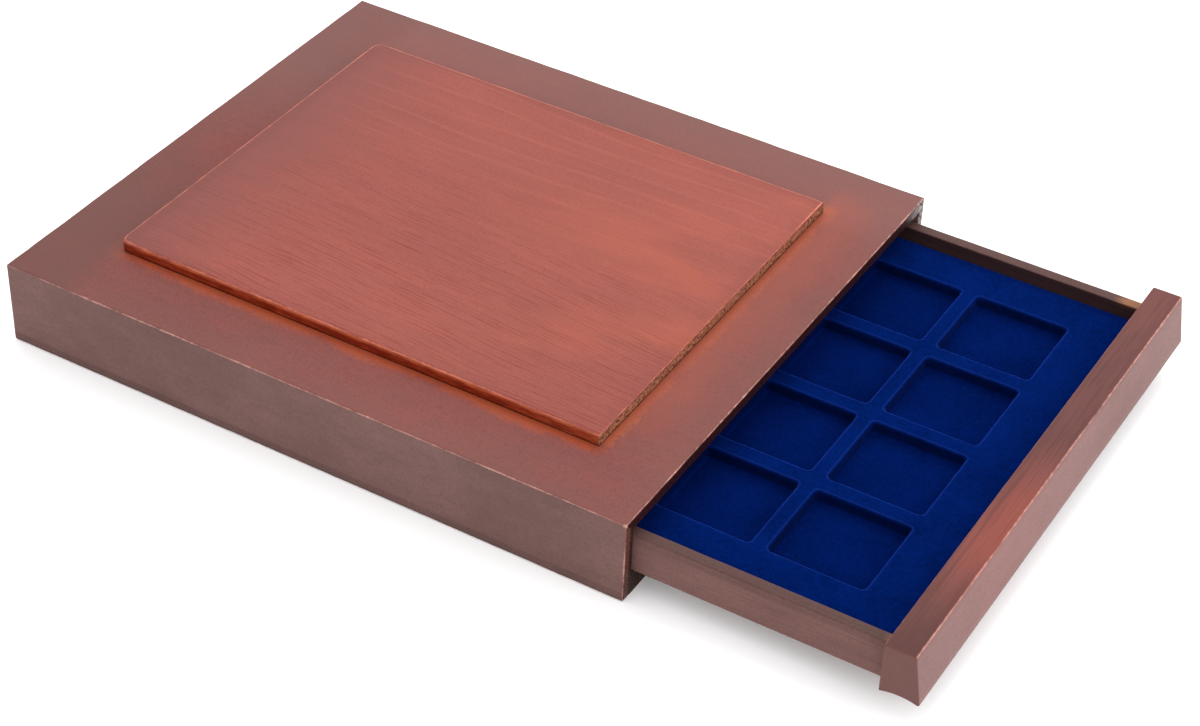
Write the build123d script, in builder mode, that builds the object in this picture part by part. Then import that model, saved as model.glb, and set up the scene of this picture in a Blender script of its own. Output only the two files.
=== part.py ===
from build123d import *
import os
from math import atan2, degrees

# Stackable drawer box for coins: a mitred wooden case with a raised stacking panel on
# top and a recess below, and one drawer that carries a flocked tray of square pockets.
#
# Frame: millimetres, +Z up. The origin is the middle of the bottom edge of the case's
# front. +X is the way the drawer pulls out, so the case lies in -X and the drawer front
# closes against X = 0. The drawer is modelled open by drawer_opening.
# Left and right are those of a user who faces the drawer, so right is +Y.

# Case
case_length = 285.0
case_width = 246.0
case_height = 37.0
board_thickness = 5.0
edge_bevel = 0.8

# Stacking panel on the top board, and the recess that takes the panel of the next box
panel_length = 223.0
panel_width = 180.5
panel_height = 5.0
panel_corner_radius = 4.0
panel_edge_radius = 1.2
recess_clearance = 1.0

# Base frame and floor
rail_height = 6.7
floor_thickness = 4.0
floor_rebate = 24.0

# Drawer
drawer_opening = 102.5
drawer_inset = 6.3
drawer_lift = 0.3
drawer_side_thickness = 5.1
drawer_side_height = 17.0
drawer_side_length = 276.0
drawer_back_thickness = 6.0
bottom_thickness = 3.0
bottom_height = 1.8
groove_depth = 2.5
front_groove_depth = 4.0
groove_clearance = 0.1

# Drawer front, a sloping face over a hollowed underside
front_bottom = 10.8
front_height = 22.0
front_thickness_top = 12.4
front_thickness_bottom = 16.0
grip_hollow = 1.3
front_edge_radius = 0.6

# Coin tray
tray_sheet = 1.2
tray_play = 0.5
pocket_size = 41.0
pocket_depth = 5.5
pocket_draft = 8.0
pocket_corner_radius = 2.5
pocket_rows = 4
pocket_columns = 5
pocket_pitch_x = 46.6
pocket_pitch_y = 47.7
pocket_front_margin = 21.0

# Fasteners
dowel_radius = 1.5
dowel_length = 20.0
dowel_in_front = 8.0
dowel_heights = (18.6, 24.4)
brad_radius = 0.6
brad_head_radius = 1.0
brad_head_height = 0.5
brad_tip_radius = 0.15
brad_tip_length = 1.2
brad_sink = 0.4
fastener_clearance = 0.03
wall_brad_length = 16.0
rail_brad_length = 9.0
panel_brad_length = 8.5
bottom_brad_length = 12.0

# How far from the middle the brads stand, as a share of the length that they hold
side_brad_spread = 0.37
cross_brad_spread = 0.35
panel_brad_spread = 0.42

# Levels and faces that follow from the sizes above
half_width = case_width / 2
inner_half_width = half_width - board_thickness
case_back = -case_length
inner_back = case_back + board_thickness
case_middle = -case_length / 2
ceiling = case_height - board_thickness
floor_top = rail_height + floor_thickness
recess_length = panel_length + 2 * recess_clearance
recess_half_width = panel_width / 2 + recess_clearance
recess_front = case_middle + recess_length / 2
recess_back = case_middle - recess_length / 2
rebate_front = recess_front + floor_rebate

drawer_floor = floor_top + drawer_lift
drawer_top = drawer_floor + drawer_side_height
drawer_half_width = half_width - drawer_inset
drawer_inner_half_width = drawer_half_width - drawer_side_thickness
drawer_rear = drawer_opening - drawer_side_length
drawer_back_face = drawer_rear + drawer_back_thickness
bottom_under = drawer_floor + bottom_height
bottom_top = bottom_under + bottom_thickness

tray_top = bottom_top + tray_sheet + pocket_depth
tray_length = drawer_opening - drawer_back_face - 2 * tray_play
tray_half_width = drawer_inner_half_width - tray_play
tray_front = drawer_opening - tray_play
tray_middle = tray_front - tray_length / 2
first_pocket = tray_front - pocket_front_margin - pocket_size / 2
pocket_middle = first_pocket - (pocket_columns - 1) * pocket_pitch_x / 2

# Places of the fasteners
rail_middle = rail_height / 2
front_rail_middle = recess_front / 2
back_rail_middle = (inner_back + recess_back) / 2
side_rail_middle = (inner_half_width + recess_half_width) / 2
drawer_back_middle = drawer_rear + drawer_back_thickness / 2
drawer_side_middle = drawer_half_width - drawer_side_thickness / 2
side_brad_stations = (
    front_rail_middle,
    case_middle + side_brad_spread * recess_length,
    case_middle,
    case_middle - side_brad_spread * recess_length,
    back_rail_middle,
)
cross_brad_stations = [i * cross_brad_spread * 2 * inner_half_width for i in (-1, 0, 1)]
rail_brad_points = [
    (x, y) for x in (front_rail_middle, back_rail_middle) for y in cross_brad_stations
] + [(x, s * side_rail_middle) for x in side_brad_stations[1:4] for s in (-1, 1)]
panel_brad_points = [
    (case_middle + i * panel_brad_spread * panel_length, s * panel_brad_spread * panel_width)
    for i in (-1, 0, 1)
    for s in (-1, 1)
]
bottom_brad_points = [(drawer_back_middle, y) for y in cross_brad_stations]

# Planes that the fasteners start from, each looking along its fasteners
left_face = Plane(origin=(0, -half_width + brad_sink, 0), x_dir=(1, 0, 0), z_dir=(0, 1, 0))
right_face = Plane(origin=(0, half_width - brad_sink, 0), x_dir=(-1, 0, 0), z_dir=(0, -1, 0))
back_face = Plane(origin=(case_back + brad_sink, 0, 0), x_dir=(0, 1, 0), z_dir=(1, 0, 0))
under_face = Plane.XY.offset(brad_sink)
ceiling_face = Plane.XY.offset(ceiling)
bottom_face = Plane.XY.offset(bottom_under)
drawer_left = Plane(
    origin=(0, -drawer_half_width + brad_sink, 0), x_dir=(1, 0, 0), z_dir=(0, 1, 0)
)
drawer_right = Plane(
    origin=(0, drawer_half_width - brad_sink, 0), x_dir=(-1, 0, 0), z_dir=(0, -1, 0)
)
dowel_face = Plane.YZ.offset(drawer_opening + dowel_in_front)


def on_plane(plane, point):
    """The plane's own two coordinates of a point of the model."""
    local = plane.to_local_coords(Vector(*point))
    return (local.X, local.Y)


def wall_brad_sites(plane):
    """Sites along a side wall, at half the height of the base rails."""
    return [on_plane(plane, (x, plane.origin.Y, rail_middle)) for x in side_brad_stations]


def back_brad_sites():
    return [on_plane(back_face, (case_back, y, rail_middle)) for y in cross_brad_stations]


def drawer_brad_sites(plane):
    """Sites on a drawer side, in line with the drawer back."""
    return [on_plane(plane, (drawer_back_middle, plane.origin.Y, z)) for z in dowel_heights]


def dowel_sites():
    return [
        on_plane(dowel_face, (drawer_opening, s * drawer_side_middle, z))
        for s in (-1, 1)
        for z in dowel_heights
    ]


def brads(plane, sites, length):
    """Brads that start from the plane: a flat head, a round shank and a drawn point."""
    taper = degrees(atan2(brad_radius - brad_tip_radius, brad_tip_length))
    with BuildSketch(plane) as profile:
        with Locations(*sites):
            Circle(brad_head_radius)
    extrude(profile.sketch, amount=brad_head_height)
    with BuildSketch(plane) as profile:
        with Locations(*sites):
            Circle(brad_radius)
    extrude(profile.sketch, amount=length - brad_tip_length)
    with BuildSketch(plane.offset(length - brad_tip_length)) as profile:
        with Locations(*sites):
            Circle(brad_radius)
    extrude(profile.sketch, amount=brad_tip_length, taper=taper)


def brad_holes(plane, sites, length):
    """Room for the brads of the same plane and sites, a hair wider and longer."""
    with BuildSketch(plane) as profile:
        with Locations(*sites):
            Circle(brad_head_radius + fastener_clearance)
    extrude(profile.sketch, amount=brad_head_height + fastener_clearance, mode=Mode.SUBTRACT)
    with BuildSketch(plane) as profile:
        with Locations(*sites):
            Circle(brad_radius + fastener_clearance)
    extrude(profile.sketch, amount=length + fastener_clearance, mode=Mode.SUBTRACT)


def dowel_holes():
    with BuildSketch(dowel_face.offset(fastener_clearance)) as profile:
        with Locations(*dowel_sites()):
            Circle(dowel_radius + fastener_clearance)
    extrude(profile.sketch, amount=-(dowel_length + 2 * fastener_clearance), mode=Mode.SUBTRACT)


def slab(x_low, x_high, y_low, y_high, z_low, z_high, mode=Mode.ADD):
    """A rectangular board between the given limits."""
    with BuildSketch(Plane.XY.offset(z_low)) as profile:
        with Locations(((x_low + x_high) / 2, (y_low + y_high) / 2)):
            Rectangle(x_high - x_low, y_high - y_low)
    extrude(profile.sketch, amount=z_high - z_low, mode=mode)


def mitred_strip(plane, corner, along, inward, length):
    """A prism of the waste outside one mitre.

    corner is the sharp outer corner on the plane, along runs in the outer face of the
    board that stays, and inward runs through its thickness. The outer corner keeps half
    of the bevel.
    """
    start = corner + along * edge_bevel
    middle = corner + (along + inward) * (edge_bevel / 2)
    end = corner + (along + inward) * board_thickness
    beyond = end - along * (2 * board_thickness)
    outside = start - inward * board_thickness
    far = beyond - inward * (2 * board_thickness)
    with BuildSketch(plane) as profile:
        with BuildLine():
            Polyline(
                (start.X, start.Y),
                (middle.X, middle.Y),
                (end.X, end.Y),
                (beyond.X, beyond.Y),
                (far.X, far.Y),
                (outside.X, outside.Y),
                close=True,
            )
        make_face()
    extrude(profile.sketch, amount=length / 2, both=True, mode=Mode.SUBTRACT)


os.makedirs("parts", exist_ok=True)


def save(builder, name):
    builder.part.label = name
    export_step(builder.part, f"parts/{name}.step")


# Sections across the case look along X, sections along the case look along Y, and
# sections level with the floor look along Z. Each is wide enough to cut a whole board.
cross_section = Plane.YZ.offset(case_middle)
long_section = Plane.XZ
level_section = Plane.XY.offset(case_height / 2)
cut_length = 2 * case_length
right = Vector(1, 0)
up = Vector(0, 1)

# ---------------------------------------------------------------- case

with BuildPart() as top_board:
    slab(case_back, 0, -half_width, half_width, ceiling, case_height)
    mitred_strip(cross_section, Vector(-half_width, case_height), right, -up, cut_length)
    mitred_strip(cross_section, Vector(half_width, case_height), -right, -up, cut_length)
    mitred_strip(long_section, Vector(case_back, case_height), right, -up, cut_length)
    front_edge = top_board.edges().filter_by(Axis.Y).group_by(Axis.Z)[-1].sort_by(Axis.X)[-1]
    chamfer(front_edge, edge_bevel / 2)
    brad_holes(ceiling_face, panel_brad_points, panel_brad_length)
save(top_board, "top_board")

# The panel is rounded at its two back corners and along three top edges. Its front end
# is sawn off square.
with BuildPart() as stacking_panel:
    with BuildSketch(Plane.XY.offset(case_height)) as panel_outline:
        with Locations((case_middle, 0)):
            Rectangle(panel_length, panel_width)
        fillet(panel_outline.vertices().group_by(Axis.X)[0], panel_corner_radius)
    extrude(amount=panel_height)
    top_edges = stacking_panel.faces().sort_by(Axis.Z)[-1].edges()
    fillet(top_edges.sort_by(Axis.X)[:-1], panel_edge_radius)
    brad_holes(ceiling_face, panel_brad_points, panel_brad_length)
save(stacking_panel, "stacking_panel")

with BuildPart() as side_wall_left:
    slab(case_back, 0, -half_width, -inner_half_width, 0, case_height)
    mitred_strip(cross_section, Vector(-half_width, case_height), -up, right, cut_length)
    mitred_strip(level_section, Vector(case_back, -half_width), right, up, cut_length)
    brad_holes(left_face, wall_brad_sites(left_face), wall_brad_length)
save(side_wall_left, "side_wall_left")

with BuildPart() as side_wall_right:
    slab(case_back, 0, inner_half_width, half_width, 0, case_height)
    mitred_strip(cross_section, Vector(half_width, case_height), -up, -right, cut_length)
    mitred_strip(level_section, Vector(case_back, half_width), right, -up, cut_length)
    brad_holes(right_face, wall_brad_sites(right_face), wall_brad_length)
save(side_wall_right, "side_wall_right")

with BuildPart() as back_wall:
    slab(case_back, inner_back, -half_width, half_width, 0, case_height)
    mitred_strip(long_section, Vector(case_back, case_height), -up, right, cut_length)
    mitred_strip(level_section, Vector(case_back, -half_width), up, right, cut_length)
    mitred_strip(level_section, Vector(case_back, half_width), -up, right, cut_length)
    brad_holes(back_face, back_brad_sites(), wall_brad_length)
save(back_wall, "back_wall")

# The floor board lies on the base rails and stops in the front rail's rebate, so that
# only solid wood shows below the drawer.
with BuildPart() as floor_board:
    slab(inner_back, rebate_front, -inner_half_width, inner_half_width, rail_height, floor_top)
    brad_holes(under_face, rail_brad_points, rail_brad_length)
save(floor_board, "floor_board")

with BuildPart() as base_rail_front:
    slab(recess_front, 0, -inner_half_width, inner_half_width, 0, floor_top)
    slab(
        recess_front,
        rebate_front,
        -inner_half_width,
        inner_half_width,
        rail_height,
        floor_top,
        mode=Mode.SUBTRACT,
    )
    brad_holes(left_face, wall_brad_sites(left_face), wall_brad_length)
    brad_holes(right_face, wall_brad_sites(right_face), wall_brad_length)
    brad_holes(under_face, rail_brad_points, rail_brad_length)
save(base_rail_front, "base_rail_front")

with BuildPart() as base_rail_back:
    slab(inner_back, recess_back, -inner_half_width, inner_half_width, 0, rail_height)
    brad_holes(left_face, wall_brad_sites(left_face), wall_brad_length)
    brad_holes(right_face, wall_brad_sites(right_face), wall_brad_length)
    brad_holes(back_face, back_brad_sites(), wall_brad_length)
    brad_holes(under_face, rail_brad_points, rail_brad_length)
save(base_rail_back, "base_rail_back")

for side_name, side, wall_plane in (("left", -1, left_face), ("right", 1, right_face)):
    edges_y = sorted((side * recess_half_width, side * inner_half_width))
    with BuildPart() as base_rail_side:
        slab(recess_back, recess_front, *edges_y, 0, rail_height)
        brad_holes(wall_plane, wall_brad_sites(wall_plane), wall_brad_length)
        brad_holes(under_face, rail_brad_points, rail_brad_length)
    save(base_rail_side, f"base_rail_{side_name}")

# ---------------------------------------------------------------- drawer

# The front's section: an upright inner face, a level top, a face that slopes outwards
# towards the bottom, and an arc that hollows the underside for the fingers.
with BuildPart() as drawer_front:
    with BuildSketch(Plane.XZ.offset(-half_width)):
        with BuildLine():
            inner_top = (drawer_opening, front_bottom + front_height)
            outer_top = (drawer_opening + front_thickness_top, front_bottom + front_height)
            outer_bottom = (drawer_opening + front_thickness_bottom, front_bottom)
            inner_bottom = (drawer_opening, front_bottom)
            hollow = (
                drawer_opening + front_thickness_bottom / 2,
                front_bottom + grip_hollow,
            )
            Line(inner_bottom, inner_top)
            Line(inner_top, outer_top)
            Line(outer_top, outer_bottom)
            ThreePointArc(outer_bottom, hollow, inner_bottom)
        make_face()
    extrude(amount=case_width)
    long_edges = drawer_front.edges().filter_by(Axis.Y)
    outer_edges = long_edges.sort_by(Axis.X)[-2:]
    fillet(outer_edges, front_edge_radius)
    slab(
        drawer_opening,
        drawer_opening + front_groove_depth,
        -drawer_inner_half_width - groove_depth,
        drawer_inner_half_width + groove_depth,
        bottom_under - groove_clearance,
        bottom_top,
        mode=Mode.SUBTRACT,
    )
    dowel_holes()
save(drawer_front, "drawer_front")

for side_name, side, side_plane in (("left", -1, drawer_left), ("right", 1, drawer_right)):
    edges_y = sorted((side * drawer_inner_half_width, side * drawer_half_width))
    groove_y = sorted(
        (
            side * (drawer_inner_half_width - groove_clearance),
            side * (drawer_inner_half_width + groove_depth),
        )
    )
    with BuildPart() as drawer_side:
        slab(drawer_rear, drawer_opening, *edges_y, drawer_floor, drawer_top)
        slab(
            drawer_rear,
            drawer_opening,
            *groove_y,
            bottom_under - groove_clearance,
            bottom_top,
            mode=Mode.SUBTRACT,
        )
        dowel_holes()
        brad_holes(side_plane, drawer_brad_sites(side_plane), wall_brad_length)
    save(drawer_side, f"drawer_side_{side_name}")

with BuildPart() as drawer_back:
    slab(
        drawer_rear,
        drawer_back_face,
        -drawer_inner_half_width,
        drawer_inner_half_width,
        bottom_top,
        drawer_top,
    )
    brad_holes(drawer_left, drawer_brad_sites(drawer_left), wall_brad_length)
    brad_holes(drawer_right, drawer_brad_sites(drawer_right), wall_brad_length)
    brad_holes(bottom_face, bottom_brad_points, bottom_brad_length)
save(drawer_back, "drawer_back")

# The bottom slides in from the rear, under the drawer back, and stops in the front.
with BuildPart() as drawer_bottom:
    slab(
        drawer_rear,
        drawer_opening + front_groove_depth - groove_clearance,
        -drawer_inner_half_width - groove_depth + groove_clearance,
        drawer_inner_half_width + groove_depth - groove_clearance,
        bottom_under,
        bottom_top,
    )
    brad_holes(bottom_face, bottom_brad_points, bottom_brad_length)
save(drawer_bottom, "drawer_bottom")

# The tray is one formed sheet: a flat top, a skirt round its edge and a cup for each
# pocket. The cups and the skirt stand on the drawer bottom.
with BuildPart() as coin_tray:
    slab(
        tray_front - tray_length,
        tray_front,
        -tray_half_width,
        tray_half_width,
        bottom_top,
        tray_top,
    )
    slab(
        tray_front - tray_length + tray_sheet,
        tray_front - tray_sheet,
        -tray_half_width + tray_sheet,
        tray_half_width - tray_sheet,
        bottom_top,
        tray_top - tray_sheet,
        mode=Mode.SUBTRACT,
    )
    with BuildSketch(Plane.XY.offset(tray_top)):
        with Locations((pocket_middle, 0)):
            with GridLocations(pocket_pitch_x, pocket_pitch_y, pocket_columns, pocket_rows):
                RectangleRounded(
                    pocket_size + 2 * tray_sheet,
                    pocket_size + 2 * tray_sheet,
                    pocket_corner_radius + tray_sheet,
                )
    extrude(amount=-(tray_top - bottom_top), taper=pocket_draft)
    with BuildSketch(Plane.XY.offset(tray_top)):
        with Locations((pocket_middle, 0)):
            with GridLocations(pocket_pitch_x, pocket_pitch_y, pocket_columns, pocket_rows):
                RectangleRounded(pocket_size, pocket_size, pocket_corner_radius)
    extrude(amount=-pocket_depth, taper=pocket_draft, mode=Mode.SUBTRACT)
save(coin_tray, "coin_tray")

# ---------------------------------------------------------------- fasteners

with BuildPart() as front_dowels:
    with BuildSketch(dowel_face):
        with Locations(*dowel_sites()):
            Circle(dowel_radius)
    extrude(amount=-dowel_length)
save(front_dowels, "drawer_front_dowels")

with BuildPart() as side_wall_brads:
    brads(left_face, wall_brad_sites(left_face), wall_brad_length)
    brads(right_face, wall_brad_sites(right_face), wall_brad_length)
save(side_wall_brads, "side_wall_brads")

with BuildPart() as back_wall_brads:
    brads(back_face, back_brad_sites(), wall_brad_length)
save(back_wall_brads, "back_wall_brads")

with BuildPart() as base_rail_brads:
    brads(under_face, rail_brad_points, rail_brad_length)
save(base_rail_brads, "base_rail_brads")

with BuildPart() as stacking_panel_brads:
    brads(ceiling_face, panel_brad_points, panel_brad_length)
save(stacking_panel_brads, "stacking_panel_brads")

with BuildPart() as drawer_back_brads:
    brads(drawer_left, drawer_brad_sites(drawer_left), wall_brad_length)
    brads(drawer_right, drawer_brad_sites(drawer_right), wall_brad_length)
save(drawer_back_brads, "drawer_back_brads")

with BuildPart() as drawer_bottom_brads:
    brads(bottom_face, bottom_brad_points, bottom_brad_length)
save(drawer_bottom_brads, "drawer_bottom_brads")
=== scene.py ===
import math

import bmesh
import bpy
import numpy as np
from mathutils import Euler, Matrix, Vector, noise


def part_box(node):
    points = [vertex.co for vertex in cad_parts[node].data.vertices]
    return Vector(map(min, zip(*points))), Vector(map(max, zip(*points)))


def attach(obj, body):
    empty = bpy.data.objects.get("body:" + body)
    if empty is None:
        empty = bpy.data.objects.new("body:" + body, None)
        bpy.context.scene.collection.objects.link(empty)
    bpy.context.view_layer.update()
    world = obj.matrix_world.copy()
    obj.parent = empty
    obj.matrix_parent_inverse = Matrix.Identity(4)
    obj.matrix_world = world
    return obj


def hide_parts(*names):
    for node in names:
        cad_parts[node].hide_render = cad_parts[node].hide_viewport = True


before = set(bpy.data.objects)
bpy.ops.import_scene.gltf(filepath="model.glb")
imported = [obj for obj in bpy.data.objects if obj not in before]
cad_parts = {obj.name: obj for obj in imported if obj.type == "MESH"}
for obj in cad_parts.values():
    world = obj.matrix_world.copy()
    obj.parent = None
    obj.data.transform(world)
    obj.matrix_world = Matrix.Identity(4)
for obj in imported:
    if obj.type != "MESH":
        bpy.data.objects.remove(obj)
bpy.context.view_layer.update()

# The looks of a stackable coin drawer box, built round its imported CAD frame. Everything is
# in metres, in the frame's own axes: +X is the way the drawer pulls out, +Y is the user's
# right, and the origin is the middle of the bottom edge of the case's front.

MM = 0.001

# ------------------------------------------------------------------ sizes

CASE_EDGE_RADIUS = 0.8 * MM
BOARD_EDGE_RADIUS = 0.5 * MM
BOARD_PITCH = 4.0 * MM
RAIL_PITCH = 9.0 * MM
DRAWER_BACK_PITCH = 6.0 * MM
PANEL_EDGE_RADIUS = 1.2 * MM
PANEL_CORNER_RADIUS = 4.0 * MM
PANEL_PITCH = 2.5 * MM
EDGE_WAVE = 0.16 * MM
WAVE_SEED = 3.0

FRONT_TOP_THICKNESS = 12.4 * MM
FRONT_HOLLOW = 1.3 * MM
FRONT_EDGE_RADIUS = 0.7 * MM
FRONT_END_RADIUS = 0.45 * MM

BOTTOM_GROOVE_DEPTH = 2.5 * MM
BOTTOM_GROOVE_PLAY = 0.1 * MM
FLOOR_REBATE = 24.0 * MM

POCKET_SIZE = 41.0 * MM
POCKET_DEPTH = 5.5 * MM
POCKET_DRAFT = math.radians(8.0)
POCKET_CORNER = 2.5 * MM
POCKET_ROWS = 4
POCKET_COLUMNS = 5
POCKET_PITCH_X = 46.6 * MM
POCKET_PITCH_Y = 47.7 * MM
POCKET_FRONT_MARGIN = 21.0 * MM
RIM_RADIUS = 1.3 * MM
FLOOR_RADIUS = 1.4 * MM
TRAY_EDGE_RADIUS = 1.0 * MM
TRAY_SHEET = 1.0 * MM

WELD_DISTANCE = 0.008 * MM
TRAY_WELD_DISTANCE = 0.02 * MM
SHARP_ANGLE = math.radians(32.0)
CORNER_STEPS = 4
RIM_STEPS = 5
WALL_STEPS = 3
FLOOR_STEPS = 5
SKIRT_STEPS = 3
POCKET_SIDE_POINTS = 24
ROUND_ANGLES = [k * math.pi / 4 / CORNER_STEPS for k in range(CORNER_STEPS + 1)]


def span(*nodes):
    """Lowest and highest corner of the nodes together, as numpy rows."""
    boxes = [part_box(n) for n in nodes]
    low = np.min([b[0] for b in boxes], axis=0)
    high = np.max([b[1] for b in boxes], axis=0)
    return low, high


CASE_LOW, CASE_HIGH = span("top_board", "side_wall_left", "side_wall_right", "back_wall")
PANEL_LOW, PANEL_HIGH = span("stacking_panel")
FRONT_LOW, FRONT_HIGH = span("drawer_front")
TRAY_LOW, TRAY_HIGH = span("coin_tray")
FAR_SIDE_LOW, FAR_SIDE_HIGH = span("drawer_side_right")

# ------------------------------------------------------------------ camera, floor, light

CAMERA_PLACE = Vector((0.3468, -0.7643, 0.6834))
CAMERA_AIM = Vector((-0.0667, -0.0287, 0.0200))
CAMERA_ROLL = math.radians(2.5)
CAMERA_LENS = 82.1
SENSOR_WIDTH = 36.0
NEAR_CLIP = 0.01
WORLD_STRENGTH = 1.28
FLOOR_REACH = 6.0
FLOOR_DROP = 0.2 * MM


def add_object(name, data):
    """A new object in the scene that shows this data."""
    thing = bpy.data.objects.new(name, data)
    bpy.context.scene.collection.objects.link(thing)
    return thing


def make_camera():
    data = bpy.data.cameras.new("camera")
    data.lens = CAMERA_LENS
    data.sensor_width = SENSOR_WIDTH
    data.clip_start = NEAR_CLIP
    camera = add_object("camera", data)
    camera.location = CAMERA_PLACE
    aim = (CAMERA_AIM - CAMERA_PLACE).to_track_quat("-Z", "Y").to_matrix()
    roll = Euler((0, 0, CAMERA_ROLL)).to_matrix()
    camera.rotation_euler = (aim @ roll).to_euler()
    bpy.context.scene.camera = camera


def area_light(name, place, aim, size, power, colour):
    data = bpy.data.lights.new(name, "AREA")
    data.shape = "RECTANGLE"
    data.size, data.size_y = size
    data.energy = power
    data.color = colour
    lamp = add_object(name, data)
    lamp.location = place
    direction = Vector(aim) - Vector(place)
    lamp.rotation_euler = direction.to_track_quat("-Z", "Y").to_euler()


def make_lights():
    area_light(
        "key_softbox", place=(-0.5, 0.9, 1.3), aim=(-0.1, 0, 0), size=(1.4, 1.0),
        power=13.5, colour=(1.0, 0.98, 0.96),
    )
    area_light(
        "front_softbox", place=(1.3, -0.1, 0.7), aim=(0.0, 0, 0.02), size=(0.9, 0.9),
        power=7.5, colour=(1.0, 0.97, 0.97),
    )
    world = bpy.data.worlds.new("studio")
    bpy.context.scene.world = world
    world.use_nodes = True
    background = world.node_tree.nodes["Background"]
    background.inputs["Color"].default_value = (1.0, 1.0, 1.0, 1.0)
    background.inputs["Strength"].default_value = WORLD_STRENGTH
    bpy.context.scene.view_settings.view_transform = "Standard"


# ------------------------------------------------------------------ shader helpers


def srgb(red, green, blue):
    """A colour given as it looks on a screen, 0 to 255, in Blender's linear values."""
    def linear(c):
        c /= 255
        return c / 12.92 if c <= 0.04045 else ((c + 0.055) / 1.055) ** 2.4
    return (linear(red), linear(green), linear(blue), 1.0)


class Value:
    """A number that varies over the surface, with arithmetic that makes math nodes."""

    def __init__(self, shader, socket):
        self.shader = shader
        self.socket = socket

    def _math(self, operation, *others):
        inputs = dict(enumerate((self, *others)))
        node = self.shader.node("ShaderNodeMath", inputs, operation=operation)
        return Value(self.shader, node.outputs[0])

    def __add__(self, other):
        return self._math("ADD", other)

    def __sub__(self, other):
        return self._math("SUBTRACT", other)

    def __mul__(self, other):
        return self._math("MULTIPLY", other)

    def __neg__(self):
        return self._math("MULTIPLY", -1.0)

    def __abs__(self):
        return self._math("ABSOLUTE")

    def less_from(self, number):
        """number minus this."""
        return -self + number

    def at_least(self, other):
        return self._math("MAXIMUM", other)

    def at_most(self, other):
        return self._math("MINIMUM", other)

    def sine(self):
        return self._math("SINE")

    def hypot(self, other):
        return (self * self + other * other)._math("SQRT")

    def smooth(self, low, high):
        """0 below low, 1 above high and a smooth step between. low may exceed high."""
        start, end = (1.0, 0.0) if low > high else (0.0, 1.0)
        inputs = {
            "Value": self, "From Min": min(low, high), "From Max": max(low, high),
            "To Min": start, "To Max": end,
        }
        node = self.shader.node("ShaderNodeMapRange", inputs, interpolation_type="SMOOTHSTEP")
        return Value(self.shader, node.outputs["Result"])

    def scaled(self, low, high):
        """A 0 to 1 value spread over low to high."""
        return self * (high - low) + low


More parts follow.
